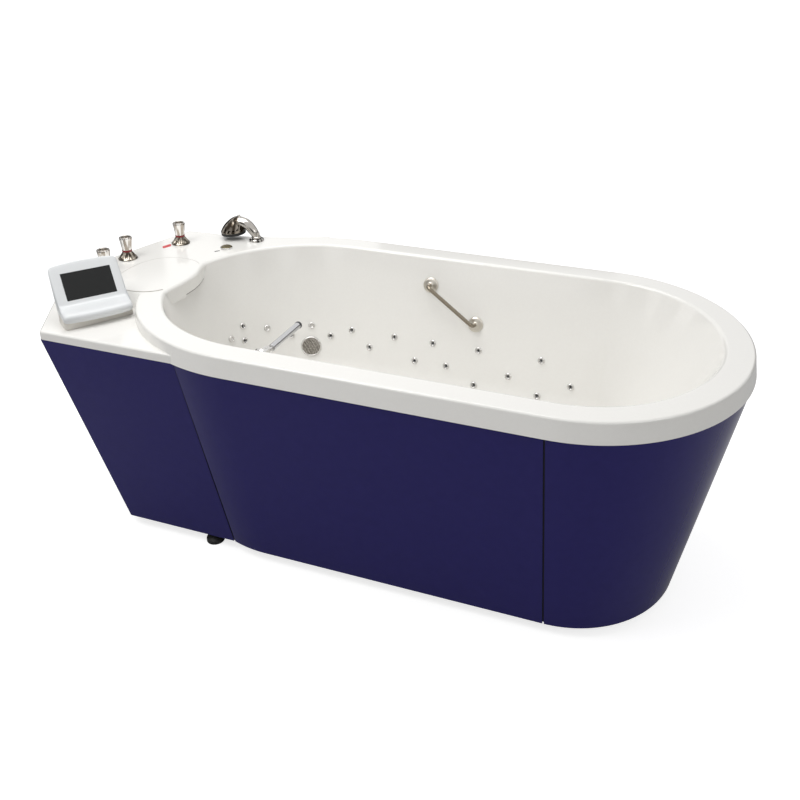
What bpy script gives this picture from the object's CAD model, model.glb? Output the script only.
import math

import bpy
from mathutils import Matrix, Vector


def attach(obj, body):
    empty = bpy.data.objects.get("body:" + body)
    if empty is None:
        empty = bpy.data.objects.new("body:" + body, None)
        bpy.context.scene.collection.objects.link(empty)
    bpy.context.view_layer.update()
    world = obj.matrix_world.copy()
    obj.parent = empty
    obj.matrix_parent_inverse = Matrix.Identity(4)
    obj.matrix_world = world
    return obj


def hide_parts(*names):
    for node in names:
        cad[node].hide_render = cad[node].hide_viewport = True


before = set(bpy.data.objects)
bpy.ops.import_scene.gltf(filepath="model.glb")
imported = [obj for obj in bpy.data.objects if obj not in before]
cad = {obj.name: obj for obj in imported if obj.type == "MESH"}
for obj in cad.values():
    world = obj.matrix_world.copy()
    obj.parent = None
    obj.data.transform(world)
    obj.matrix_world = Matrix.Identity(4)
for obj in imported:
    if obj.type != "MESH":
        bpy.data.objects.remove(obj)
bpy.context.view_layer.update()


# Tub moulding
# The tub is one vacuum-formed sheet of white acrylic, 7 mm thick, with glass
# fibre behind it. Rim, deck, trough and basin run into each other with soft
# lips, and the skin is as smooth as the mould that it was drawn over.

def linear(code):
    """A hex colour as the linear numbers that Blender wants."""
    parts = [int(code[i:i + 2], 16) / 255 for i in (1, 3, 5)]
    return [c / 12.92 if c <= 0.04045 else ((c + 0.055) / 1.055) ** 2.4
            for c in parts] + [1.0]


def add(tree, kind, settings=(), links=()):
    """Adds a node with its settings, and links its inputs to other outputs."""
    node = tree.nodes.new(kind)
    for key, value in dict(settings).items():
        if isinstance(key, str) and hasattr(node, key):
            setattr(node, key, value)
        else:
            node.inputs[key].default_value = value
    for key, (source, output) in dict(links).items():
        tree.links.new(source.outputs[output], node.inputs[key])
    return node


def principled(name, settings):
    """A new material, its node tree and its shader, with the shader's settings."""
    material = bpy.data.materials.new(name)
    material.use_nodes = True
    tree = material.node_tree
    shader = tree.nodes["Principled BSDF"]
    for key, value in settings.items():
        shader.inputs[key].default_value = value
    return material, tree, shader


def surface(name, colour, second, grain, swing, rise, settings):
    """A material with two near colours and a roughness that swings, over a
    cloudy grain in millimetres, and a skin that rises by so many millimetres."""
    material, tree, shader = principled(name, settings)
    place = add(tree, "ShaderNodeTexCoord")
    cloud = add(tree, "ShaderNodeTexNoise", {"Scale": 1000 / grain, "Detail": 3.0},
                {"Vector": (place, "Object")})
    tint = add(tree, "ShaderNodeMix",
               {"data_type": "RGBA", 6: linear(colour), 7: linear(second)},
               {0: (cloud, "Fac")})
    gloss = add(tree, "ShaderNodeMapRange",
                {"To Min": settings["Roughness"] - swing,
                 "To Max": settings["Roughness"] + swing}, {"Value": (cloud, "Fac")})
    skin = add(tree, "ShaderNodeBump", {"Distance": rise / 1000},
               {"Height": (cloud, "Fac")})
    tree.links.new(tint.outputs[2], shader.inputs["Base Color"])
    tree.links.new(gloss.outputs["Result"], shader.inputs["Roughness"])
    tree.links.new(skin.outputs["Normal"], shader.inputs["Normal"])
    return material


def skinned(rows, closed=False):
    """Points and faces of a skin over rings of points. Its two ends are capped,
    unless the last ring runs on into the first."""
    n, m = len(rows[0]), len(rows)
    faces = [] if closed else [tuple(reversed(range(n))),
                               tuple(range((m - 1) * n, m * n))]
    for k in range(m if closed else m - 1):
        for i in range(n):
            j, above = (i + 1) % n, (k + 1) % m
            faces.append((k * n + i, k * n + j, above * n + j, above * n + i))
    return [point for row in rows for point in row], faces


def loft(rows):
    """Points and faces of a closed solid through rows of (height, outline)."""
    return skinned([[(x, y, z) for x, y in outline] for z, outline in rows])


def raw(shape):
    """A plain object from a mesh, or from points in millimetres and faces."""
    mesh = shape
    if isinstance(shape, tuple):
        mesh = bpy.data.meshes.new("raw")
        mesh.from_pydata([[c / 1000 for c in p] for p in shape[0]], [], shape[1])
    made = bpy.data.objects.new("raw", mesh)
    bpy.context.scene.collection.objects.link(made)
    return made


def combine(shape, steps):
    """The mesh of a solid after others are joined, cut or intersected in turn."""
    made = [raw(shape)]
    for operation, other in steps:
        made.append(raw(other))
        step = made[0].modifiers.new(operation, "BOOLEAN")
        step.operation, step.solver, step.object = operation, "MANIFOLD", made[-1]
    bpy.context.view_layer.update()
    done = made[0].evaluated_get(bpy.context.evaluated_depsgraph_get())
    mesh = bpy.data.meshes.new_from_object(done)
    for each in made:
        bpy.data.objects.remove(each)
    return mesh


def dress(name, shape, material, body, stands_for=(), sharp=35):
    """Shows a mesh, or points and faces, as a smooth piece that rides on a body
    and stands for parts of the frame."""
    made = raw(shape)
    made.name = made.data.name = name
    mesh = made.data
    mesh.materials.clear()
    mesh.materials.append(material)
    mesh.polygons.foreach_set("use_smooth", [True] * len(mesh.polygons))
    mesh.update()
    mesh.set_sharp_from_angle(angle=math.radians(sharp))
    even = made.modifiers.new("even", "WEIGHTED_NORMAL")
    even.keep_sharp = True
    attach(made, body)
    if stands_for:
        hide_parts(*stands_for)
    return made


# Sizes are in millimetres, and heights are taken from the floor. xa and xb are
# the centres of the tub's round ends, at the foot and at the head.
rim_h, rim_face, rim_flare, rim_edge = 811, 60, 8, 8
shell_t = 7
half_w, foot_round, head_round = 500, 510, 460
xa, xb = -282, 618
face_foot = rim_h - rim_face
deck_drop, ramp_y, ramp_len = 33, -200, 40
low_deck = rim_h - deck_drop
front_y = -478
lip = 9


def oval(w, a, b, steps=80):
    """Outline with straight sides and round ends."""
    turn = [math.radians(-90 + 180 * i / steps) for i in range(steps + 1)]
    return ([(xb + b * math.cos(t), w * math.sin(t)) for t in turn]
            + [(xa - a * math.cos(t), -w * math.sin(t)) for t in turn])


def rim_oval(off):
    return oval(half_w - off, foot_round - off, head_round - off)


# The basin is an oval with these half lengths at the rim. Its wall leans in, down
# to turn_z, where it turns into the floor.
basin_w, basin_foot, basin_head = 420, 430, 380
floor_z, turn_z, turn_w, turn_a = 325, 430, 110, 14
wall_lean, foot_lean, head_lean = 95, 75, 190
wall_run = rim_h - turn_z


def basin_oval(z, off):
    k = (rim_h - z) / wall_run
    return oval(basin_w - wall_lean * k + off, basin_foot - foot_lean * k + off,
                basin_head - head_lean * k + off)


def basin(off, low, top, lipped):
    """The basin's hollow, grown by off, with a rounded lip at the rim."""
    rows = []
    start = math.radians(turn_a)
    for i in range(14, 0, -1):
        t = math.radians(turn_a + (90 - turn_a) * i / 14)
        drop = (turn_z - floor_z) * (1 - (1 - math.sin(t)) / (1 - math.sin(start)))
        inward = turn_w * (math.cos(start) - math.cos(t)) / math.cos(start)
        rows.append((turn_z - drop - low * math.sin(t),
                     basin_oval(turn_z, off - inward)))
    rows += [(z, basin_oval(z, off)) for z in (turn_z, 500, 580, 660, 740)]
    if not lipped:
        return loft(rows + [(top, basin_oval(top, off))])
    for i in range(9):
        t = math.radians(90 * i / 8)
        z = rim_h - lip + lip * math.sin(t)
        rows.append((z, basin_oval(z, off + lip * (1 - math.cos(t)))))
    return loft(rows + [(top, basin_oval(rim_h, off + lip + 1))])


def inset(outline, d):
    """An outline drawn in by d on every side."""
    made = []
    for i, b in enumerate(outline):
        a, c = outline[i - 1], outline[(i + 1) % len(outline)]
        u = Vector((b[0] - a[0], b[1] - a[1])).normalized()
        v = Vector((c[0] - b[0], c[1] - b[1])).normalized()
        m, n = Vector((-u.y, u.x)), Vector((-v.y, v.x))
        made.append(tuple(Vector(b) + d * (m + n) / (1 + m.dot(n))))
    return made


def rounded(corners, radii, steps=6):
    """An outline whose corners are turned with the given radii."""
    made = []
    for i, b in enumerate(corners):
        a, c = Vector(corners[i - 1]), Vector(corners[(i + 1) % len(corners)])
        b, r = Vector(b), radii[i]
        u, v = (a - b).normalized(), (c - b).normalized()
        if r == 0:
            made.append(tuple(b))
            continue
        half = u.angle(v) / 2
        reach = r / math.tan(half)
        centre = b + (u + v).normalized() * r / math.sin(half)
        p, q = b + u * reach - centre, b + v * reach - centre
        for k in range(steps + 1):
            t = k / steps
            made.append(tuple(centre + (p * (1 - t) + q * t).normalized() * r))
    return made


def sweep_point(t):
    """A point of the curve that carries the deck's back edge into the rim."""
    a, b, c = (xa - 138, half_w - 8), (xa - 318, 407), (xa - 478, 379)
    return tuple((1 - t) ** 2 * a[i] + 2 * t * (1 - t) * b[i] + t * t * c[i]
                 for i in (0, 1))


deck_outline = rounded(
    [(-901, front_y), (xa - 150, front_y), (xa - 20, front_y + 120),
     (xa - 20, half_w - 120)] + [sweep_point(i / 16) for i in range(17)]
    + [(-937, 371), (-1086, -155)], [14, 0, 0, 0] + [0] * 17 + [14, 14])


def deck(top, d, drop, edge):
    """A slab of the deck whose upper edge is rounded."""
    rows = [(face_foot - drop, inset(deck_outline, d))]
    for i in range(7):
        t = math.radians(90 * i / 6)
        rows.append((top - drop - edge + edge * math.sin(t),
                     inset(deck_outline, d + edge * (1 - math.cos(t)))))
    return loft(rows)


def behind_ramp(drop):
    """Everything behind the slope between the low deck and the high one."""
    foot = ramp_y - ramp_len
    side = [(foot, low_deck - drop), (ramp_y, rim_h - drop), (ramp_y + 12, 900),
            (700, 900), (700, 600), (foot - 20, 600), (foot - 20, low_deck - drop - 16)]
    return skinned([[(x, y, z) for y, z in side] for x in (0, -1200)])


cover_x, cover_y, cover_l, cover_w, trough_h = -787, -43, 236, 304, 34
fullness = 0.84


def cover_oval(d, steps=120):
    """Outline of the cover, fuller at its corners than an oval."""
    made = []
    for i in range(steps):
        t = 2 * math.pi * i / steps
        u, v = [math.copysign(abs(c) ** fullness, c) for c in (math.cos(t), math.sin(t))]
        made.append((cover_x + (cover_l / 2 - d) * u, cover_y + (cover_w / 2 - d) * v))
    return made


def turned(profile, at=(0, 0, 0), axis=(0, 0, 1), closed=False, steps=64,
           flutes=(1, 0, 0, -1)):
    """Points and faces of a turned piece, from (radius, height) pairs that go up
    its outside. Flutes are (count, depth, first and last pair that have them)."""
    turn = Vector(axis).normalized().to_track_quat("Z", "Y").to_matrix()
    count, depth, first, last = flutes
    rows = []
    for k, (r, h) in enumerate(profile):
        fade = 0
        if first <= k <= last:
            fade = math.sin(math.pi * (k - first + 0.6) / (last - first + 1.2))
        row = []
        for i in range(steps):
            t = 2 * math.pi * i / steps
            grow = r - depth * fade * (1 - abs(math.sin(count * t / 2)))
            spot = Vector((grow * math.cos(t), grow * math.sin(t), h))
            row.append(tuple(turn @ spot + Vector(at)))
        rows.append(row)
    return skinned(rows, closed)


# Cast acrylic has an IOR near 1.49 and a hard mirror-like skin; the slight
# orange peel of a drawn sheet is about 9 mm wide and a few microns deep.
white_acrylic = surface("white_acrylic", "#F1F0EC", "#EEECE8", 9, 0.02, 0.004,
                        {"Roughness": 0.1, "IOR": 1.49})

waste_x, waste_r, overflow_r = -450, 27, 16.5
rim_rows = [(face_foot, rim_oval(-6.5)), (face_foot + 1.5, rim_oval(-rim_flare))]
for i in range(8):
    t = math.radians(90 * i / 7)
    rim_rows.append((rim_h - rim_edge + rim_edge * math.sin(t),
                     rim_oval(rim_edge * (1 - math.cos(t)))))
high_deck = combine(deck(rim_h, 0, 0, 7), [("INTERSECT", behind_ramp(0))])
high_hollow = combine(deck(rim_h, shell_t, shell_t, 3),
                      [("INTERSECT", behind_ramp(shell_t))])
moulding = combine(loft(rim_rows), [
    ("UNION", deck(low_deck, 0, 0, 7)),
    ("UNION", high_deck),
    ("DIFFERENCE", loft([(face_foot - 1, rim_oval(shell_t - rim_flare)),
                         (rim_h - shell_t, rim_oval(shell_t))])),
    ("DIFFERENCE", deck(low_deck, shell_t, shell_t, 3)),
    ("DIFFERENCE", high_hollow),
    ("UNION", basin(shell_t, shell_t, rim_h - 1, False)),
    ("UNION", loft([(rim_h - trough_h - shell_t, cover_oval(8)),
                    (rim_h - 1, cover_oval(8))])),
    ("DIFFERENCE", basin(0, 0, rim_h + 3, True)),
    ("DIFFERENCE", loft([(rim_h - trough_h, cover_oval(15)),
                         (rim_h + 3, cover_oval(15))])),
    ("DIFFERENCE", turned([(overflow_r, 0), (overflow_r, 30)],
                          (cover_x - 40, cover_y, 755))),
    ("DIFFERENCE", turned([(waste_r, 0), (waste_r, 20)], (waste_x, 0, floor_z - 15))),
])
dress("tub_moulding", moulding, white_acrylic, "tub", ["tub_shell"], 32)


# Cover of the overflow trough
# A loose moulding of the same acrylic closes the trough at the foot end. Its
# lid lies on the deck, and its skirt hangs in the basin, where the water runs
# off below it.

cover_t, nose_r, blend = 4, 12, 40
hem_z, lid_top = rim_h - 47, rim_h + 1.6
nose_top = lid_top - 0.02


def flowing(d, steps=100):
    """The cover's edge over the basin, drawn in by d. On both sides it flows
    into the edge of the basin. Each of its points is found on a ray, by halving
    the stretch that holds it."""
    made = []
    for i in range(steps + 1):
        t = math.radians(-36 + 74 * i / steps)
        near, far = 60, 330
        for _ in range(22):
            r = (near + far) / 2
            x, y = -900 + r * math.cos(t), -35 + r * math.sin(t)
            u, v = (x - cover_x) / (cover_l / 2), (y - cover_y) / (cover_w / 2)
            full = (abs(u) ** (2 / fullness) + abs(v) ** (2 / fullness)) ** (fullness / 2)
            past_cover = math.hypot(x - cover_x, y - cover_y) * (1 - 1 / full)
            past_wall = ((basin_foot + basin_w) / 2
                         * (1 - math.hypot((x - xa) / basin_foot, y / basin_w)))
            both = max(blend - abs(past_cover - past_wall), 0) / blend
            if min(past_cover, past_wall) - both * both * blend / 4 > -d:
                far = r
            else:
                near = r
        made.append((x, y))
    return made + [(-760, 230), (-900, 200), (-900, -260), (-720, -290)]


def block(low, high):
    """Points and faces of a box between two corners."""
    (x0, y0, z0), (x1, y1, z1) = low, high
    return loft([(z, [(x0, y0), (x1, y0), (x1, y1), (x0, y1)]) for z in (z0, z1)])


lid = [(rim_h + 0.1, cover_oval(1.8)), (rim_h + 0.7, cover_oval(1.8)),
       (rim_h + 0.8, cover_oval(0.1)), (rim_h + 1.1, cover_oval(0)),
       (rim_h + 1.4, cover_oval(0.4)), (lid_top, cover_oval(1.2))]
nose = [(hem_z, flowing(1.5)), (hem_z + 2, flowing(0))]
for i in range(9):
    t = math.radians(90 * i / 8)
    nose.append((nose_top - nose_r + nose_r * math.sin(t),
                 flowing(nose_r * (1 - math.cos(t)))))
free = basin(-0.6, 0, rim_h + 20, True)
hollow = loft([(hem_z - 12, flowing(cover_t)), (lid_top - nose_r, flowing(cover_t)),
               (rim_h - 1.5, flowing(nose_r + 1))])
tab = combine(loft([(hem_z - 9, flowing(1.5)), (hem_z - 7, flowing(0)),
                    (hem_z + 3, flowing(0))]),
              [("INTERSECT", block((-800, -240, 700), (-600, -66, 800)))])
hanging = combine(loft(nose), [("UNION", tab), ("INTERSECT", free),
                               ("DIFFERENCE", hollow)])
over_deck = combine(loft(lid), [("DIFFERENCE", basin(-0.8, 0, rim_h + 20, True))])
dress("overflow_lid", combine(over_deck, [("UNION", hanging)]), white_acrylic,
      "cover", ["overflow_cover"], 40)
# A grey sealing lip closes the slot under the skirt, and a thin bead of a paler
# rubber edges the lid. Both are soft moulded rubber, mottled over 2 mm.
grey_lip = surface("grey_sealing_lip", "#6E6A64", "#7A766F", 2, 0.05, 0.02,
                   {"Roughness": 0.5, "IOR": 1.5})
pale_bead = surface("pale_sealing_bead", "#B2AEA7", "#BAB6B0", 2, 0.05, 0.02,
                    {"Roughness": 0.5, "IOR": 1.5})
slot_lip = combine(loft([(hem_z - 1.6, flowing(0.9)), (hem_z + 0.6, flowing(0.9))]), [
    ("DIFFERENCE", loft([(hem_z - 3, flowing(3.4)), (hem_z + 3, flowing(3.4))])),
    ("INTERSECT", block((-800, -62, 700), (-600, 200, 800))),
    ("INTERSECT", basin(-1.2, 0, rim_h + 20, True))])
bead_rows = [(rim_h + 0.1, cover_oval(-0.6)), (lid_top, cover_oval(-0.4)),
             (lid_top + 0.2, cover_oval(0.2)), (lid_top + 0.2, cover_oval(1.2))]
bead_inside = loft([(rim_h - 1, cover_oval(1.4)), (rim_h + 3, cover_oval(1.4))])
edge_bead = combine(loft(bead_rows), [("DIFFERENCE", bead_inside),
                                      ("DIFFERENCE", basin(1, 0, rim_h + 20, True))])
dress("overflow_slot_lip", slot_lip, grey_lip, "cover", (), 40)
dress("overflow_edge_bead", edge_bead, pale_bead, "cover", (), 40)


# Side panels
# The slanting panels are sheets of acrylic, coloured navy through and polished.
# They hang under the rim's lip and stop short of the floor, and the joint
# between two of them is 5 mm wide.

panel_t, panel_z, seam = 4, 40, 5
panel_top = face_foot - 0.3
skirt_w, skirt_foot, skirt_head = 346, 365, 324


def skirt(d, low=0, high=0):
    """The tub's panels as one solid, drawn in by d, with its lower and upper end
    moved by low and high."""
    return loft([(panel_z + low, oval(skirt_w - d, skirt_foot - d, skirt_head - d)),
                 (panel_top + high, rim_oval(d - 3))])


console_top = [(-901, front_y), (xa, front_y), (xa, 375), (-937, 371), (-1086, -155)]
console_foot = [(-806, -326), (xa, -326), (xa, 217), (-842, 217), (-956, -135)]


def console(d, low=0, high=0):
    """The console's panels as one solid, drawn in and moved in the same way."""
    return loft([(panel_z + low, inset(console_foot, d)),
                 (panel_top + high, inset(console_top, d))])


def coat(material, *names):
    """Gives frame parts, which keep their shape, a material."""
    for name in names:
        cad[name].data.materials.clear()
        cad[name].data.materials.append(material)


# Polished acrylic again, IOR 1.49; the colour has a violet cast, and fine
# swirls of polishing, about 30 mm wide, move the gloss a little. Wear has
# dulled its mirror below that of the white tub.
navy_acrylic = surface("navy_acrylic", "#27235F", "#2B2767", 30, 0.015, 0.01,
                       {"Roughness": 0.12, "IOR": 1.49, "Specular IOR Level": 0.12})
outlet_r, outlet_z = 29, 150
outlet_hole = turned([(outlet_r, 0), (outlet_r, 500)], (waste_x, 100, outlet_z),
                     (0, 1, 0))
for name, low, high in (
        ("front_panel", (-900, -700, 0), (xb - seam / 2, -10, 800)),
        ("back_panel", (-900, 10, 0), (xb - seam / 2, 700, 800)),
        ("head_panel", (xb + seam / 2, -700, 0), (1200, 700, 800))):
    sheet = combine(skirt(0), [
        ("DIFFERENCE", skirt(panel_t, -0.5, 0.5)),
        ("DIFFERENCE", console(-0.1, -3, 3)),
        ("DIFFERENCE", outlet_hole),
        ("INTERSECT", block(low, high))])
    dress(name + "_sheet", sheet, navy_acrylic, "tub", [name], 32)
coat(navy_acrylic, "console_front_panel", "console_end_panel", "console_back_panel")
# Dark foam tape with 2 mm cells is stuck behind every joint, so that no light
# falls through it.
seal_foam = surface("dark_seal_foam", "#0B0A16", "#11101E", 2, 0.05, 0.1,
                    {"Roughness": 0.8, "IOR": 1.5})
for name, strip, steps in (
        ("seam_seals", skirt(panel_t + 0.1, -1, -4),
         [("DIFFERENCE", skirt(panel_t + 3, -3, 3)),
          ("INTERSECT", block((xb - 14, -700, 45), (xb + 14, 700, 745)))]),
        ("console_seals", console(panel_t + 0.2, 0, -4),
         [("DIFFERENCE", console(panel_t + 3, -3, 3)), ("INTERSECT", skirt(-16, -3, 3)),
          ("DIFFERENCE", skirt(panel_t + 14, -6, 6))])):
    dress(name, combine(strip, steps), seal_foam, "tub", (), 32)


# Frame and feet
# A frame of welded square steel tube, galvanised, carries the tub and the
# machinery. It stands on black rubber-faced feet that screw up and down.

# Hot-dip zinc has a dull spangle about 14 mm wide, and bright zinc plate a finer
# and glossier one of 3 mm. Moulded rubber is matt, with a 1.5 mm grain, and the
# cut foam of the supports shows cells of 4 mm.
galvanised = surface("galvanised_steel", "#9A9DA0", "#85888C", 14, 0.08, 0.02,
                     {"Metallic": 1.0, "Roughness": 0.42})
zinc_plated = surface("zinc_plated_steel", "#B9BABB", "#A6A8AA", 3, 0.05, 0.01,
                      {"Metallic": 1.0, "Roughness": 0.3})
black_rubber = surface("black_rubber", "#141414", "#1B1B1B", 1.5, 0.06, 0.05,
                       {"Roughness": 0.62, "IOR": 1.52})
block_foam = surface("foam_block", "#6E7073", "#7C7E80", 4, 0.04, 0.2,
                     {"Roughness": 0.85, "IOR": 1.5})
coat(galvanised, "frame", "machine_tray")
coat(zinc_plated, "foot_lock_nuts", "deck_nuts")
coat(black_rubber, "levelling_feet", "power_gland")
coat(block_foam, "basin_supports")


# Jets
# Each jet is a chromed brass flange with a rounded ring and a dark nozzle in a
# cup, screwed through the wall to a grey PVC manifold.

# The jets below turn_z sit on the upper part of the turn into the floor.
start, first = math.radians(turn_a), math.radians(turn_a + (90 - turn_a) / 4)
drop_step = (turn_z - floor_z) * (1 - (1 - math.sin(first)) / (1 - math.sin(start)))
turn_step = turn_w * (math.cos(start) - math.cos(first)) / math.cos(start)


def wall_side(z):
    """Half width of the basin at a height, beside its straight walls."""
    if z >= turn_z:
        return basin_w - wall_lean * (rim_h - z) / wall_run
    return basin_w - wall_lean - turn_step * (turn_z - z) / drop_step


def wall_at(x, z, side=1):
    """Place on the back wall, or with side -1 on the front wall, and the
    direction out of the basin."""
    tilt = math.atan(wall_lean / wall_run)
    if z < turn_z:
        tilt = math.atan(turn_step / drop_step)
    y, turn = wall_side(z), 0
    if x < xa:
        a = basin_foot - foot_lean * (rim_h - z) / wall_run
        across = math.sqrt(1 - ((x - xa) / a) ** 2)
        turn = math.atan2(-(x - xa) / a ** 2, across / y)
        y *= across
    return (Vector((x, side * y, z)),
            Vector((-math.sin(turn) * math.cos(tilt),
                    side * math.cos(turn) * math.cos(tilt), -math.sin(tilt))))


# Places of the jets along the wall and up it. The open ones show no nozzle.
jets = [(-617, 558), (-559, 530), (-424, 525), (-276, 519), (-111, 519), (34, 519),
        (200, 519), (421, 519), (-635, 528), (-609, 506), (-488, 494), (-355, 490),
        (-203, 469), (-28, 448), (89, 448), (313, 448), (529, 448), (196, 400),
        (420, 400)]
open_jets = (1, 2, 8)
jet_profile = [(7, -36), (7, -0.4), (11.2, -0.2), (11.5, 0.8), (11.3, 2.2),
               (10.4, 3.4), (9, 3.9), (7.6, 3.6), (6.8, 2.8), (6.3, 1.4), (6, 0.2),
               (5.6, -0.2), (4.9, -0.8)]
nozzle_profile = [(4.8, -2.2), (4.3, 0), (3.7, 0.9), (2.6, 1.1), (1.2, 0.4)]


def several(shapes):
    """One set of points and faces from several."""
    points, faces = [], []
    for own_points, own_faces in shapes:
        faces += [tuple(i + len(points) for i in face) for face in own_faces]
        points += own_points
    return points, faces


# Chromium plate is a bright, nearly neutral mirror, 0.07 rough. Its faint
# waviness, 6 mm wide, is that of the polished brass below it.
chrome = surface("chromed_brass", "#D9D8D6", "#D2D0CD", 6, 0.02, 0.003,
                 {"Metallic": 1.0, "Roughness": 0.07})
# Moulded nozzles are satin, with a 2 mm mottle. Extruded PVC has a soft gloss
# that swings over 12 mm.
dark_insert = surface("dark_nozzle_plastic", "#1F2023", "#2A2B2E", 2, 0.05, 0.01,
                      {"Roughness": 0.35, "IOR": 1.5})
grey_pvc = surface("grey_pvc_pipe", "#8B8D8F", "#83858A", 12, 0.05, 0.01,
                   {"Roughness": 0.4, "IOR": 1.53})
for side, name in ((1, "back_jets"), (-1, "front_jets")):
    flanges, nozzles = [], []
    for i, (x, z) in enumerate(jets):
        at, out = wall_at(x, z, side)
        # In the round end a flange sits deeper, so that its edge meets the wall.
        seat = at - out * (0.4 if x >= xa else 1.2)
        flanges.append(turned(jet_profile, seat, -out, steps=40))
        if i not in open_jets:
            nozzles.append(turned(nozzle_profile, seat, -out, steps=24))
    dress(name + "_flanges", several(flanges), chrome, "tub", [name], 50)
    dress(name + "_nozzles", several(nozzles), dark_insert, "tub", (), 50)
coat(grey_pvc, "jet_nuts", "back_manifold", "front_manifold", "suction_body",
     "suction_pipe", "pressure_pipe", "air_pipe", "waste_outlet", "overflow_pipe")


# Suction grille
# Water leaves through a round grille in the back wall: a turned and chromed rim
# around a sheet of fine woven steel mesh.

at, out = wall_at(-421, 450)
seat = at - out * 2.6
grille_rim = [(20.6, -40), (20.6, -0.3), (35.4, 0), (36, 0.8), (35.6, 2), (34.4, 3),
              (33, 3.2), (32, 2.6), (31.6, 1.8)]
dress("grille_rim", turned(grille_rim, seat, -out), chrome, "tub",
      ["suction_grille"], 50)
steel_mesh, tree, shader = principled("woven_steel_mesh",
                                      {"Metallic": 0.8, "Roughness": 0.45})
place = add(tree, "ShaderNodeTexCoord")
# The real mesh has 1 mm holes; they are drawn 4 mm apart so that they show.
hole_gap = 4
holes = add(tree, "ShaderNodeTexVoronoi", {"Scale": 1000 / hole_gap, "Randomness": 0.4},
            {"Vector": (place, "Object")})
edge = add(tree, "ShaderNodeMapRange", {"From Min": 0.25, "From Max": 0.5},
           {"Value": (holes, "Distance")})
wire = add(tree, "ShaderNodeMix", {"data_type": "RGBA", 6: linear("#BDB9B1"),
                                   7: linear("#77726B")}, {0: (edge, "Result")})
relief = add(tree, "ShaderNodeBump", {"Distance": 0.0008}, {"Height": (edge, "Result")})
tree.links.new(wire.outputs[2], shader.inputs["Base Color"])
tree.links.new(relief.outputs["Normal"], shader.inputs["Normal"])
dome = [(32, 0.4), (32, 1.9), (24, 2.6), (12, 3), (2, 3.1)]
dress("grille_mesh", turned(dome, seat, -out), steel_mesh, "tub", (), 50)


# Pump, blower and control box
# The machinery stands on a tray in the console: a painted pump motor with a
# moulded volute, a blower and a sheet steel box.

# Sprayed motor paint has a 5 mm orange peel, moulded ABS a 2 mm grain, and the
# powder coat of the box a texture of 1.2 mm.
dark_paint = surface("dark_motor_paint", "#23262A", "#1C1F22", 5, 0.06, 0.03,
                     {"Roughness": 0.45, "IOR": 1.5})
black_abs = surface("black_abs", "#26272A", "#2D2E31", 2, 0.05, 0.02,
                    {"Roughness": 0.5, "IOR": 1.54})
light_paint = surface("light_box_paint", "#B4B3AE", "#BBBAB5", 1.2, 0.05, 0.04,
                      {"Roughness": 0.5, "IOR": 1.5})
coat(dark_paint, "pump_motor", "blower")
coat(black_abs, "pump_volute")
coat(light_paint, "control_box")


# Waste
# The waste in the basin floor has a chromed flange and a pop-up plug over a
# brass body.

coat(chrome, "waste_flange")
lid_place = (waste_x, 0, floor_z + 3.6)
plug_lid = [(28, 0.1), (29.6, 0.6), (30, 1.8), (29.2, 3), (25, 4.2), (18, 5.4),
            (10, 6.4), (3, 6.9)]
stem = [(3, -52), (3, 0.2)]
dress("waste_plug_lid", several([turned(plug_lid, lid_place),
                                 turned(stem, lid_place, steps=24)]),
      chrome, "waste_plug", ["waste_plug"], 50)
# Cast brass keeps the 4 mm grain of its sand mould. Drawn copper tube is smooth,
# with clouds of tarnish 10 mm wide.
cast_brass = surface("cast_brass", "#B08D4C", "#9F7E42", 4, 0.08, 0.05,
                     {"Metallic": 1.0, "Roughness": 0.35})
copper_tube = surface("copper_tube", "#B8714C", "#A5623F", 10, 0.06, 0.01,
                      {"Metallic": 1.0, "Roughness": 0.28})
coat(cast_brass, "valve_bodies", "water_inlets")
coat(zinc_plated, "waste_body")
coat(copper_tube, "supply_pipes")


# Waste control
# A low turning cap of burnished bronze in a chromed bezel works the plug by a
# cable. A short dark mark beside it shows where it is shut.

knob = (-706, 249, rim_h)
bezel = [(4.1, -30), (14, -30), (14, 0.3), (20.6, 0.3), (21, 0.8), (21, 5.2),
         (20.4, 6), (19.4, 6.3), (18.7, 6), (18.5, 5.4), (18.5, 1.4), (4.1, 1.4)]
dress("control_bezel", turned(bezel, knob, closed=True), chrome, "tub",
      ["knob_bezel"], 40)
cap = [(4, -44), (4, 1.6), (17.6, 1.6), (18, 2), (18, 6.6), (17.6, 7.6), (16.6, 8.4),
       (15.4, 8.8), (14.4, 8.6), (6, 8.3), (1.5, 8.2)]
# Burnished bronze has a brown bloom in patches of 2.5 mm.
bronze = surface("burnished_bronze", "#6B6249", "#7A7055", 2.5, 0.08, 0.01,
                 {"Metallic": 0.9, "Roughness": 0.34})
dress("control_cap", turned(cap, knob, flutes=(30, 0.5, 3, 5), steps=120), bronze,
      "waste_knob", ["waste_knob"], 40)
# The printed inks are smooth, with a 1 mm mottle, and the fired enamel of the
# valves' rings has one of 2 mm.
black_ink = surface("black_mark", "#1A1A1A", "#242424", 1, 0.05, 0.01,
                    {"Roughness": 0.4, "IOR": 1.5})
red_enamel = surface("red_enamel", "#8E1A20", "#7C151B", 2, 0.05, 0.01,
                     {"Roughness": 0.25, "IOR": 1.5})
coral_ink = surface("coral_printed_ink", "#D0484B", "#C53E43", 1, 0.05, 0.01,
                    {"Roughness": 0.4, "IOR": 1.5})
coat(black_ink, "index_mark")
mark = rounded([(-929, 187), (-914, 168), (-902, 201), (-917, 222)], [5, 5, 5, 5])
dress("red_mark_ink", loft([(rim_h + 0.02, mark), (rim_h + 0.2, mark)]), coral_ink,
      "tub", ["red_mark"], 40)


# Valves
# Three deck valves mix and send the water. Each has a fluted chromed rosette,
# a thin red ring and a flared handle of chrome and clear acrylic with a cup in
# its top.

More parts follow.
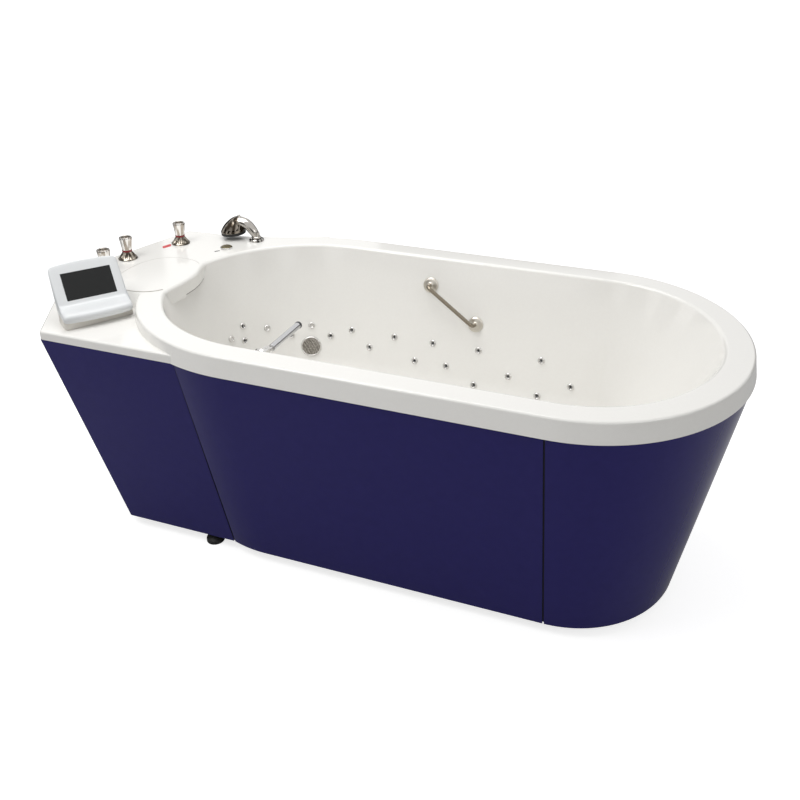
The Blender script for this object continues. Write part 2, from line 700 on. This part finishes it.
rosette = [(13.3, 0), (31.6, 0), (32.5, 0.8), (32.5, 2.2), (31.6, 3.4), (30.4, 4.8)]
for i in range(1, 11):
    rosette.append((30 - 14.6 * (i / 10) ** 0.9, 5 + 20.6 * i / 10))
rosette += [(15, 26.2), (6.5, 26.2), (6.5, 22), (13.3, 22)]
grip_profile = [(5.4, 0), (14.8, 0), (15.6, 0.6), (16.4, 4), (17.3, 10), (18.4, 17),
                (19.2, 25), (20, 32), (20.8, 36), (21.4, 39.4), (21.5, 42.4),
                (20.8, 44.2), (19.4, 44.6), (16.2, 44.4), (14.6, 43), (13.8, 38),
                (12.6, 32), (10, 29.6), (4, 29)]
grip_z = rim_h + 31.9
valve_places = [(-962, -82), (-970, 46), (-888, 240)]


def streaked(name, light, dark, width, settings):
    """Metal with upright streaks so many millimetres wide."""
    material, tree, shader = principled(name, settings)
    place = add(tree, "ShaderNodeTexCoord")
    stretch = add(tree, "ShaderNodeMapping", {"Scale": (1, 1, 0.06)},
                  {"Vector": (place, "Object")})
    streaks = add(tree, "ShaderNodeTexNoise", {"Scale": 1000 / width, "Detail": 1.0},
                  {"Vector": (stretch, "Vector")})
    sharp = add(tree, "ShaderNodeMapRange", {"From Min": 0.42, "From Max": 0.58},
                {"Value": (streaks, "Fac")})
    tint = add(tree, "ShaderNodeMix", {"data_type": "RGBA", 6: linear(dark),
                                       7: linear(light)}, {0: (sharp, "Result")})
    tree.links.new(tint.outputs[2], shader.inputs["Base Color"])
    return material


# The plate on the castings mirrors its own flutes over and over, which draws
# dark and bright streaks about 9 mm wide down the cone.
warm_chrome = streaked("chromed_castings", "#A9A195", "#4A443B", 9,
                       {"Metallic": 1.0, "Roughness": 0.1})
dress("rosettes_fluted", several([
    turned(rosette, (x, y, rim_h + 0.3), closed=True, steps=160,
           flutes=(20, 2.6, 5, 14)) for x, y in valve_places]),
    warm_chrome, "tub", ["rosettes"], 40)
coat(red_enamel, "index_rings")
coat(chrome, "spindle_1", "spindle_2", "spindle_3")
# The upright pieces mirror a darker side of the room than the flat ones do. The
# waviness of their plate is 8 mm wide.
neck_chrome = surface("shaded_chrome", "#BDB9B4", "#AAA59F", 8, 0.02, 0.003,
                      {"Metallic": 1.0, "Roughness": 0.08})
# The handle's chrome core shows through clear acrylic, whose flutes bend it into
# bright and brown streaks about 9 mm wide, under a clear coat of IOR 1.49.
clear_chrome = streaked("chrome_in_clear_acrylic", "#FBF9F6", "#B3A89C", 9,
                        {"Metallic": 0.85, "Roughness": 0.12, "Coat Weight": 0.8,
                         "Coat Roughness": 0.04, "Coat IOR": 1.49})
cup = [(14.9, 43.2), (17.6, 44.3), (18.2, 45.2), (17.4, 46), (15.8, 46), (14.2, 44.8),
       (13.9, 36), (14.2, 36)]
for i, (x, y) in enumerate(valve_places):
    name = "handle_%d" % (i + 1)
    dress(name + "_cup", turned(cup, (x, y, grip_z), closed=True), neck_chrome, name, (),
          50)
    dress(name + "_grip", turned(grip_profile, (x, y, grip_z), steps=144,
                                 flutes=(9, 1.1, 2, 7)),
          clear_chrome, name, [name], 40)


# Hand shower
# The shower stands in a socket on the deck: a chromed bell with a rubber spray
# face, on a short curved neck that runs down into its plug.

sx, sy, hold_z = -647, 358, rim_h + 22
socket = [(12.6, -36), (19, -36), (19, 0.3), (25.4, 0.3), (26, 0.9), (26, 5),
          (25.2, 7.2), (23, 9), (20.4, 9.9), (18.4, 10), (16, 9.2), (14, 6.5),
          (12.6, 2.5)]
# The plated socket mirrors the dark neck above it in streaks about 12 mm wide.
socket_plate = streaked("plated_socket", "#C9C6C1", "#1E1B18", 12,
                        {"Metallic": 1.0, "Roughness": 0.08})
dress("shower_ring", turned(socket, (sx, sy, rim_h), closed=True), socket_plate, "tub",
      ["shower_socket"], 40)


def between(rows, steps):
    """Rows on a smooth curve through the given ones."""
    made = []
    last = len(rows) - 1
    for k in range(last):
        a, b, c, d = (rows[max(k - 1, 0)], rows[k], rows[k + 1], rows[min(k + 2, last)])
        for i in range(steps):
            t = i / steps
            made.append([0.5 * (2 * q + (r - p) * t + (2 * p - 5 * q + 4 * r - s) * t * t
                                + (3 * q - p - 3 * r + s) * t ** 3)
                         for p, q, r, s in zip(a, b, c, d)])
    return made + [list(rows[last])]


# Distance from the socket, height over the spray face, radius, heading.
head_rows = between([(93, 3.6, 44.2, 95), (93, 5.6, 45, 95), (92.4, 9, 44.4, 94),
                     (88.2, 18.2, 41.3, 88), (83, 29, 35.4, 82), (76, 38.2, 28.9, 72),
                     (68.8, 43.6, 24, 58), (61, 44.5, 21.6, 38), (49.4, 41, 19.6, 12),
                     (36.5, 36.6, 18.8, -7), (25, 28.2, 18, -24), (15, 17.2, 17, -41),
                     (7, 6.5, 15.6, -57), (2.4, -3, 13.6, -73), (0, -10, 12.2, -88)], 4)
ring = 64
bell = []
for reach, rise, r, heading in head_rows:
    h = math.radians(heading)
    bell.append([])
    for i in range(ring):
        t = 2 * math.pi * i / ring
        bell[-1].append((sx - reach + r * math.cos(t) * math.sin(h),
                         sy + r * math.sin(t),
                         hold_z + rise - r * math.cos(t) * math.cos(h)))
neck_foot = [(12.5, -20), (12.5, 10.8), (16.4, 10.8), (17, 11.4), (17, 14.6),
             (16.2, 15.6), (13.6, 16.4), (12.4, 18), (12.1, 24), (12.1, 31)]
lug = turned([(6, -6), (4.6, 0), (3, 2.6), (1, 3.4)], (sx - 66, sy, rim_h + 87.5),
             (-0.2, 0, 1), steps=24)
shower = dress("shower_handset", several([skinned(bell), lug,
                                          turned(neck_foot, (sx, sy, rim_h))]),
               neck_chrome, "hand_shower", ["hand_shower"], 50)
# The head is plated over a darker nickel, which turns its mirror brown, in
# streaks 16 mm wide. Its faces are the first ones: the end caps and 30 rings.
head_rings = 30
nickel_head = streaked("smoked_nickel_plate", "#8E867C", "#3A332B", 16,
                       {"Metallic": 1.0, "Roughness": 0.08})
shower.data.materials.append(nickel_head)
for face in shower.data.polygons[:2 + head_rings * ring]:
    face.material_index = 1
face_lean = math.radians(5)
lean = Vector((-math.sin(face_lean), 0, math.cos(face_lean)))
face_at = Vector((sx - head_rows[0][0], sy, hold_z))
across = Vector((lean.z, 0, -lean.x))
nubs = [face_at - lean * 1.6 + r * (across * math.cos(t) + Vector((0, math.sin(t), 0)))
        for r in (10, 20, 30)
        for t in [2 * math.pi * k / (r * 0.8) for k in range(int(r * 0.8))]]
spray_disc = [(34, -7.4), (41, -7), (43.4, -5.4), (44.2, -3), (44.2, 4)]
nub = [(0.7, -7), (1.5, -6.6), (1.9, -5.7)]
dress("spray_disc", several([turned(spray_disc, face_at, lean)]
                            + [turned(nub, at, lean, steps=10) for at in nubs]),
      black_rubber, "hand_shower", ["spray_face"], 50)


# Grab bar
# A bent tube of polished stainless steel between two round flanges on the back
# wall, for the bather's right hand.

def tube(path, r, steps=28):
    """Points and faces of a round tube along points."""
    path = [Vector(p) for p in path]
    rows, normal = [], None
    for k, p in enumerate(path):
        along = (path[min(k + 1, len(path) - 1)] - path[max(k - 1, 0)]).normalized()
        if normal is None:
            normal = along.orthogonal().normalized()
        normal = (normal - along * normal.dot(along)).normalized()
        other = along.cross(normal)
        rows.append([tuple(p + r * (math.cos(t) * normal + math.sin(t) * other))
                     for t in [2 * math.pi * i / steps for i in range(steps)]])
    return skinned(rows)


def bent(corners, r, steps=10):
    """Points of a path whose inner corners are bent to radius r."""
    corners = [Vector(p) for p in corners]
    made = [corners[0]]
    for a, b, c in zip(corners, corners[1:], corners[2:]):
        u, v = (a - b).normalized(), (c - b).normalized()
        half = u.angle(v) / 2
        centre = b + (u + v).normalized() * r / math.sin(half)
        p, q = b + u * r / math.tan(half) - centre, b + v * r / math.tan(half) - centre
        for k in range(steps + 1):
            t = k / steps
            made.append(centre + (p * (1 - t) + q * t).normalized() * r)
    return made + [corners[-1]]


# Polished stainless steel mirrors softly, over waves of 5 mm; the flanges are
# brushed to a satin with a 4 mm grain.
polished_steel = surface("polished_stainless", "#8F8678", "#82796B", 5, 0.04, 0.004,
                         {"Metallic": 1.0, "Roughness": 0.1})
satin_steel = surface("satin_stainless", "#D3CEC5", "#C8C2B7", 4, 0.05, 0.004,
                      {"Metallic": 1.0, "Roughness": 0.3})
upper, out = wall_at(8, 716)
lower, out = wall_at(181, 605)
inward, bar_r, stand_off, bend_r = -out, 6.6, 44, 17
bar = bent([upper + 2 * inward, upper + stand_off * inward, lower + stand_off * inward,
            lower + 2 * inward], bend_r)
flange = [(6.5, 0.3), (25.4, 0.3), (26.4, 1), (26.5, 2.4), (25.8, 4.2), (24, 5.8),
          (20, 6.8), (14, 7.2), (9.4, 8), (8, 9.6), (7, 12), (6.5, 12)]
stud = [(5, -26), (5, -16), (9, -16), (9, -7.3), (5, -7.3), (5, 0.4)]
dress("grab_bar_tube", tube(bar, bar_r), polished_steel, "tub", ["grab_bar"],
      50)
dress("grab_bar_flanges", several(
    [turned(flange, p, inward, closed=True) for p in (upper, lower)]
    + [turned(stud, p, inward, steps=32) for p in (upper, lower)]),
    satin_steel, "tub", (), 50)


# Support arm
# A chromed rod swings on a bracket at the front rim. Its sleeve of polished
# aluminium ends in a black plastic ring around a bright plug.

coat(chrome, "arm_bracket", "arm_pin", "support_arm")
# Turned and polished aluminium keeps a fine lathe grain of 1.5 mm.
sleeve_metal = surface("polished_aluminium", "#CFCFD0", "#C3C3C5", 1.5, 0.04, 0.004,
                       {"Metallic": 1.0, "Roughness": 0.2})
arm_z = 784
arm_at = (-200, 34 - wall_side(arm_z), arm_z)
sleeve = [(6.1, 29), (9.8, 29), (10.4, 29.8), (10.4, 186), (9, 186), (9, 192), (7.6, 193)]
dress("arm_sleeve", turned(sleeve, arm_at, (0, 1, 0)), sleeve_metal, "arm",
      ["grip_sleeve"], 40)
tip = [(9, 186.2), (10.8, 186.2), (11.2, 187), (11.2, 193), (10.4, 194.6), (8.6, 195.4),
       (7.8, 194.8), (7.7, 193.4)]
dress("arm_tip", turned(tip, arm_at, (0, 1, 0), closed=True), black_abs, "arm", (),
      40)
end_plug = [(7.6, 193.2), (7.6, 194), (6.6, 195), (4, 195.6), (1, 195.8)]
dress("arm_end_plug", turned(end_plug, arm_at, (0, 1, 0)), sleeve_metal, "arm", (),
      40)


# Control panel
# A touch screen in a soft-edged housing of grey-white ABS stands on a block at
# the deck's front. The lip below the screen bends forward and covers the block.

unit_heading = face_tilt = math.radians(53)
unit_turn = (Matrix.Translation((-773, -365, low_deck))
             @ Matrix.Rotation(unit_heading, 4, "Z"))
unit_half, unit_low = 102, 29.3
up = Vector((math.cos(face_tilt), math.sin(face_tilt)))
proud = Vector((-math.sin(face_tilt), math.cos(face_tilt)))
crease = Vector((30, 47))


def slice_points(x, trim, thin):
    """One slice across the housing: trimmed at its ends, thinned on its faces."""
    bow = 1 - (x / unit_half) ** 2
    top_edge = crease + (141 + 7 * bow) * up
    front = -16 - 9 * bow + 0.6 * trim
    rise = 0.6 * trim
    side = [Vector((front + 13, unit_low)), Vector((front + 12.5, min(23 + rise, 28.8))),
            Vector((front + 9, 19.5 + rise)), Vector((front + 4, 21 + rise)),
            Vector((front, 29 + rise / 3)), Vector((front - 1, 36)),
            Vector((front + 1.5, 43.5 - thin)), Vector((front + 10, 48.5 - thin)),
            Vector((front + 23, 51 - thin)),
            Vector((28, 53.5 - thin)), crease + 13 * up - thin * proud,
            crease + 21 * up - thin * proud, crease + 66 * up - thin * proud,
            top_edge - (14 + trim) * up - thin * proud,
            top_edge - (3 + trim) * up - (thin + 0.6) * proud,
            top_edge - trim * up - (thin * 0.5 + 4) * proud,
            top_edge - (3 + trim) * up - 9 * proud,
            top_edge - (16 + trim) * up - 12 * proud,
            crease + Vector((52, 16)), Vector((66, unit_low + 6)), Vector((63, unit_low))]
    return [tuple(unit_turn @ Vector((x, p.x, p.y))) for p in side]


ends = [(unit_half, 17, 6), (101.4, 10, 4), (98.8, 4.6, 2), (94, 1.4, 0.6),
        (86, 0.2, 0), (62, 0, 0)]
slices = (ends + [(24, 0, 0), (-24, 0, 0)]
          + [(-x, trim, thin) for x, trim, thin in ends[::-1]])
cage = raw(skinned([slice_points(*each) for each in slices]))
smoothing = cage.modifiers.new("smoothing", "SUBSURF")
smoothing.levels = smoothing.render_levels = 3
bpy.context.view_layer.update()
housing = bpy.data.meshes.new_from_object(
    cage.evaluated_get(bpy.context.evaluated_depsgraph_get()))
bpy.data.objects.remove(cage)
on_face = (unit_turn @ Matrix.Translation((0, crease.x, crease.y))
           @ Matrix.Rotation(face_tilt, 4, "X"))
screen_outline = [(-72, 26), (75, 26), (75, 113), (-72, 113)]


def on_screen(d, low, high):
    """A block on the housing's face with the outline of the screen, less d."""
    points, faces = loft([(z, inset(screen_outline, d)) for z in (low, high)])
    return [tuple(on_face @ Vector(p)) for p in points], faces


# Fine-textured ABS has an IOR of 1.54 and a satin skin with a 0.8 mm grain.
white_abs = surface("grey_white_abs", "#DEE0E1", "#D9DBDC", 0.8, 0.04, 0.015,
                    {"Roughness": 0.32, "IOR": 1.54})
dress("panel_shell", combine(housing, [("DIFFERENCE", on_screen(0, -2.3, 12))]),
      white_abs, "tub", ["panel_housing"], 40)
# The screen is smooth dark glass, with a faint haze in patches of 20 mm.
screen_glass = surface("dark_screen_glass", "#181919", "#1C1D1D", 20, 0.02, 0.001,
                       {"Roughness": 0.12, "IOR": 1.52, "Specular IOR Level": 0.25})
dress("screen_pane", on_screen(0.1, -2.4, -0.5), screen_glass, "tub", ["panel_screen"],
      30)
base = [(-101, -12), (103, 6), (103, 60), (-101, 70)]
base_rows = []
for z, d in ((0.3, 1.2), (1.2, 0.3), (2.4, 0), (27, 0), (28.6, 0.6), (29, 1.6)):
    base_rows.append((z, inset(rounded(base, [14, 2, 9, 9]), d)))
base_points, base_faces = loft(base_rows)
# The block is a warmer grey ABS with a coarser grain of 1 mm.
grey_block = surface("warm_grey_abs", "#DDD9D2", "#D6D2CA", 1, 0.04, 0.02,
                     {"Roughness": 0.5, "IOR": 1.54})
dress("panel_foot", ([tuple(unit_turn @ Vector(p)) for p in base_points], base_faces),
      grey_block, "tub", ["panel_block"], 40)


# Studio
# A pale floor that keeps the tub's shadow, a white surround, and three large
# soft lamps.

floor_half = 60000
corners = [(x, y, 0) for x, y in ((-floor_half, -floor_half), (floor_half, -floor_half),
                                  (floor_half, floor_half), (-floor_half, floor_half))]
floor = raw((corners, [(0, 1, 2, 3)]))
floor.name = "studio_floor"
# A matt floor of one colour. It glows where the camera meets it, and nowhere else.
pale, tree, shader = principled("pale_floor", {"Base Color": linear("#CFCFCF"),
                                               "Roughness": 0.7})
ray = add(tree, "ShaderNodeLightPath")
glow = add(tree, "ShaderNodeMath", {"operation": "MULTIPLY", 1: 0.75},
           {0: (ray, "Is Camera Ray")})
white = add(tree, "ShaderNodeEmission", {"Color": (1, 1, 1, 1)},
            {"Strength": (glow, "Value")})
mixed = add(tree, "ShaderNodeAddShader", (), {0: (shader, "BSDF"),
                                              1: (white, "Emission")})
tree.links.new(mixed.outputs["Shader"], tree.nodes["Material Output"].inputs["Surface"])
floor.data.materials.append(pale)

world = bpy.data.worlds.new("studio")
bpy.context.scene.world = world
world.use_nodes = True
tree = world.node_tree
tree.nodes.clear()
plain = add(tree, "ShaderNodeBackground", {"Color": (1, 1, 1, 1), "Strength": 0.42})
shown = add(tree, "ShaderNodeBackground", {"Color": (1, 1, 1, 1), "Strength": 1.0})
# White where the eye meets it: straight, in a mirror or through glass.
ray = add(tree, "ShaderNodeLightPath")
mirror = add(tree, "ShaderNodeMath", {"operation": "MAXIMUM"},
             {0: (ray, "Is Glossy Ray"), 1: (ray, "Is Transmission Ray")})
met = add(tree, "ShaderNodeMath", {"operation": "MAXIMUM"},
          {0: (ray, "Is Camera Ray"), 1: (mirror, "Value")})
both = add(tree, "ShaderNodeMixShader", (), {0: (met, "Value"), 1: (plain, "Background"),
                                             2: (shown, "Background")})
add(tree, "ShaderNodeOutputWorld", (), {"Surface": (both, "Shader")})


def lamp(name, place, aim, size, watts):
    """A square soft lamp that points at a place."""
    light = bpy.data.lights.new(name, "AREA")
    light.size, light.energy = size, watts
    made = bpy.data.objects.new(name, light)
    bpy.context.scene.collection.objects.link(made)
    made.location = place
    view = Vector(aim) - Vector(place)
    made.rotation_euler = view.to_track_quat("-Z", "Y").to_euler()
    return made


lamp("key", (-1.4, -1.8, 3.6), (0, 0, 0.6), 1.6, 40)
lamp("fill", (3.2, -1.6, 2.6), (0.2, 0, 0.5), 1.4, 12)
lamp("top", (-0.7, 0.3, 3.8), (-0.1, 0, 0.6), 2.2, 50)

# Dark screens stand round the set, as in a photographer's room, so that chrome
# has something dark to mirror. Only mirrors show them.
screen_cloth = principled("screen_cloth", {"Base Color": linear("#17130E"),
                                           "Roughness": 0.9})[0]
ring_r, half_card = 3600, 850
for i, turn in enumerate((8, 52, 100, 150, 196, 238, 282, 326)):
    t = math.radians(turn)
    middle = Vector((ring_r * math.cos(t), ring_r * math.sin(t)))
    along = Vector((-math.sin(t), math.cos(t)))
    sides = [middle - half_card * along, middle + half_card * along]
    card = raw(([(p.x, p.y, z) for z in (150, 2050) for p in sides], [(0, 1, 3, 2)]))
    card.name = "dark_screen_%d" % (i + 1)
    card.data.materials.append(screen_cloth)
    card.visible_camera = card.visible_diffuse = card.visible_shadow = False
    card.visible_transmission = False

# The camera stands before the head end and looks down on the tub, towards its
# foot end.
camera = bpy.data.cameras.new("camera")
camera.lens, camera.sensor_width, camera.sensor_fit = 41.2, 36, "HORIZONTAL"
camera.shift_x, camera.shift_y = -0.0261, -0.1003
viewer = bpy.data.objects.new("camera", camera)
bpy.context.scene.collection.objects.link(viewer)
viewer.location = (0.992, -2.3675, 1.9243)
viewer.rotation_euler = (math.radians(90 - 24.56), 0, math.radians(20.28))
bpy.context.scene.camera = viewer
bpy.context.scene.view_settings.view_transform = "Standard"
